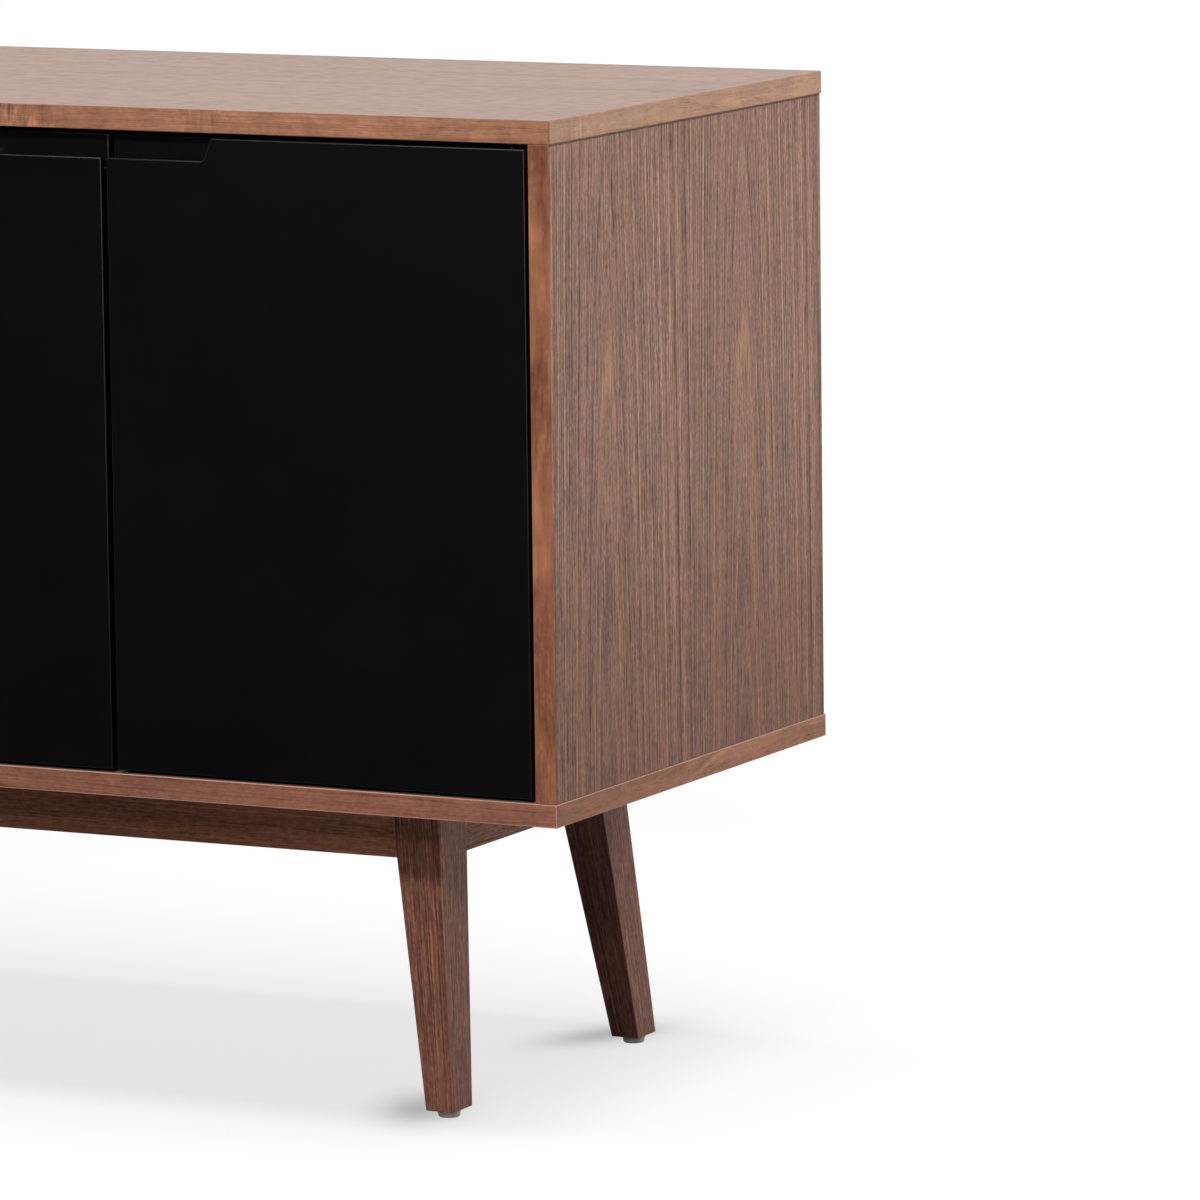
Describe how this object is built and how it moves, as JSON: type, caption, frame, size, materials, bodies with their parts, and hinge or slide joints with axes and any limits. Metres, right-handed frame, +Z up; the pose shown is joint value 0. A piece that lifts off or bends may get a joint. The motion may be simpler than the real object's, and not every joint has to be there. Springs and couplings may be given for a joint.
{
  "type": "sideboard buffet",
  "caption": "Long low sideboard in walnut veneer with black pull-groove doors and drawers, on a splayed tapered leg frame.",
  "frame": {"origin": "on the floor, under the middle of the carcass", "axes": "+Z up, +X to the right along the length, front towards -Y"},
  "size_m": [1.8, 0.465, 0.76],
  "materials": {
    "walnut_top": "walnut veneer, clear matt lacquer, grain along the length, with warm brown edge banding",
    "walnut_bottom": "walnut veneer, clear matt lacquer, grain along the length, with warm brown edge banding",
    "walnut_side": "walnut veneer, clear matt lacquer, upright grain, with warm brown edge banding",
    "walnut_inside": "walnut veneer, matt",
    "walnut_back": "walnut-faced back board, matt",
    "walnut_frame": "solid walnut, clear matt lacquer",
    "walnut_leg": "solid walnut, clear matt lacquer",
    "black_lacquer": "satin black lacquer on fibreboard, fine bloom",
    "birch_ply": "clear lacquered birch plywood",
    "beech": "plain beech",
    "zinc_steel": "bright zinc plated steel",
    "grey_nylon": "grey moulded nylon",
    "dark_plastic": "dark moulded plastic"
  },
  "bodies": {
    "carcass": {"top_panel": "walnut_top", "bottom_panel": "walnut_bottom", "side_panel_left": "walnut_side", "side_panel_right": "walnut_side", "partition_left": "walnut_inside", "partition_right": "walnut_inside", "back_panel_left": "walnut_back", "back_panel_centre": "walnut_back", "back_panel_right": "walnut_back", "shelf_left": "walnut_inside", "shelf_right": "walnut_inside", "shelf_pins": "zinc_steel", "carcass_dowels": "beech", "cam_locks": "zinc_steel", "pivot_bushes": "grey_nylon", "magnetic_catches": "dark_plastic", "door_stops": "dark_plastic", "runner_channels": "zinc_steel", "apron_front": "walnut_frame", "apron_rear": "walnut_frame", "apron_left": "walnut_frame", "apron_right": "walnut_frame", "cross_rail": "walnut_frame", "corner_blocks": "beech", "frame_screws": "zinc_steel", "leg_front_left": "walnut_leg", "leg_front_right": "walnut_leg", "leg_rear_left": "walnut_leg", "leg_rear_right": "walnut_leg", "glides": "grey_nylon"},
    "left_outer_door": {"door_left_outer": "black_lacquer", "pivots_left_outer": "zinc_steel", "strike_left_outer": "zinc_steel"},
    "left_inner_door": {"door_left_inner": "black_lacquer", "pivots_left_inner": "zinc_steel", "strike_left_inner": "zinc_steel"},
    "right_inner_door": {"door_right_inner": "black_lacquer", "pivots_right_inner": "zinc_steel", "strike_right_inner": "zinc_steel"},
    "right_outer_door": {"door_right_outer": "black_lacquer", "pivots_right_outer": "zinc_steel", "strike_right_outer": "zinc_steel"},
    "bottom_drawer": {"drawer_front_bottom": "black_lacquer", "drawer_sides_bottom": "birch_ply", "drawer_ends_bottom": "birch_ply", "drawer_base_bottom": "birch_ply", "drawer_rails_bottom": "zinc_steel"},
    "bottom_runner_mid": {"runner_mid_bottom": "zinc_steel"},
    "middle_drawer": {"drawer_front_middle": "black_lacquer", "drawer_sides_middle": "birch_ply", "drawer_ends_middle": "birch_ply", "drawer_base_middle": "birch_ply", "drawer_rails_middle": "zinc_steel"},
    "middle_runner_mid": {"runner_mid_middle": "zinc_steel"},
    "top_drawer": {"drawer_front_top": "black_lacquer", "drawer_sides_top": "birch_ply", "drawer_ends_top": "birch_ply", "drawer_base_top": "birch_ply", "drawer_rails_top": "zinc_steel"},
    "top_runner_mid": {"runner_mid_top": "zinc_steel"}
  },
  "joints": [
    {"name": "left_outer_hinge", "type": "hinge", "parent": "carcass", "child": "left_outer_door", "pos_m": [-0.8652, -0.2225, 0.5], "axis": [0, 0, -1], "range_deg": [0, 90]},
    {"name": "left_inner_hinge", "type": "hinge", "parent": "carcass", "child": "left_inner_door", "pos_m": [-0.1897, -0.2225, 0.5], "axis": [0, 0, 1], "range_deg": [0, 90]},
    {"name": "right_inner_hinge", "type": "hinge", "parent": "carcass", "child": "right_inner_door", "pos_m": [0.1897, -0.2225, 0.5], "axis": [0, 0, -1], "range_deg": [0, 90]},
    {"name": "right_outer_hinge", "type": "hinge", "parent": "carcass", "child": "right_outer_door", "pos_m": [0.8652, -0.2225, 0.5], "axis": [0, 0, 1], "range_deg": [0, 90]},
    {"name": "bottom_drawer_slide", "type": "slide", "parent": "carcass", "child": "bottom_drawer", "axis": [0, -1, 0], "range_m": [0, 0.35]},
    {"name": "bottom_runner_slide", "type": "slide", "parent": "carcass", "child": "bottom_runner_mid", "axis": [0, -1, 0], "range_m": [0, 0.175]},
    {"name": "middle_drawer_slide", "type": "slide", "parent": "carcass", "child": "middle_drawer", "axis": [0, -1, 0], "range_m": [0, 0.35]},
    {"name": "middle_runner_slide", "type": "slide", "parent": "carcass", "child": "middle_runner_mid", "axis": [0, -1, 0], "range_m": [0, 0.175]},
    {"name": "top_drawer_slide", "type": "slide", "parent": "carcass", "child": "top_drawer", "axis": [0, -1, 0], "range_m": [0, 0.35]},
    {"name": "top_runner_slide", "type": "slide", "parent": "carcass", "child": "top_runner_mid", "axis": [0, -1, 0], "range_m": [0, 0.175]}
  ],
  "couplings": [
    {"joint": "bottom_runner_slide", "follows": "bottom_drawer_slide", "ratio": 0.5},
    {"joint": "middle_runner_slide", "follows": "middle_drawer_slide", "ratio": 0.5},
    {"joint": "top_runner_slide", "follows": "top_drawer_slide", "ratio": 0.5}
  ]
}
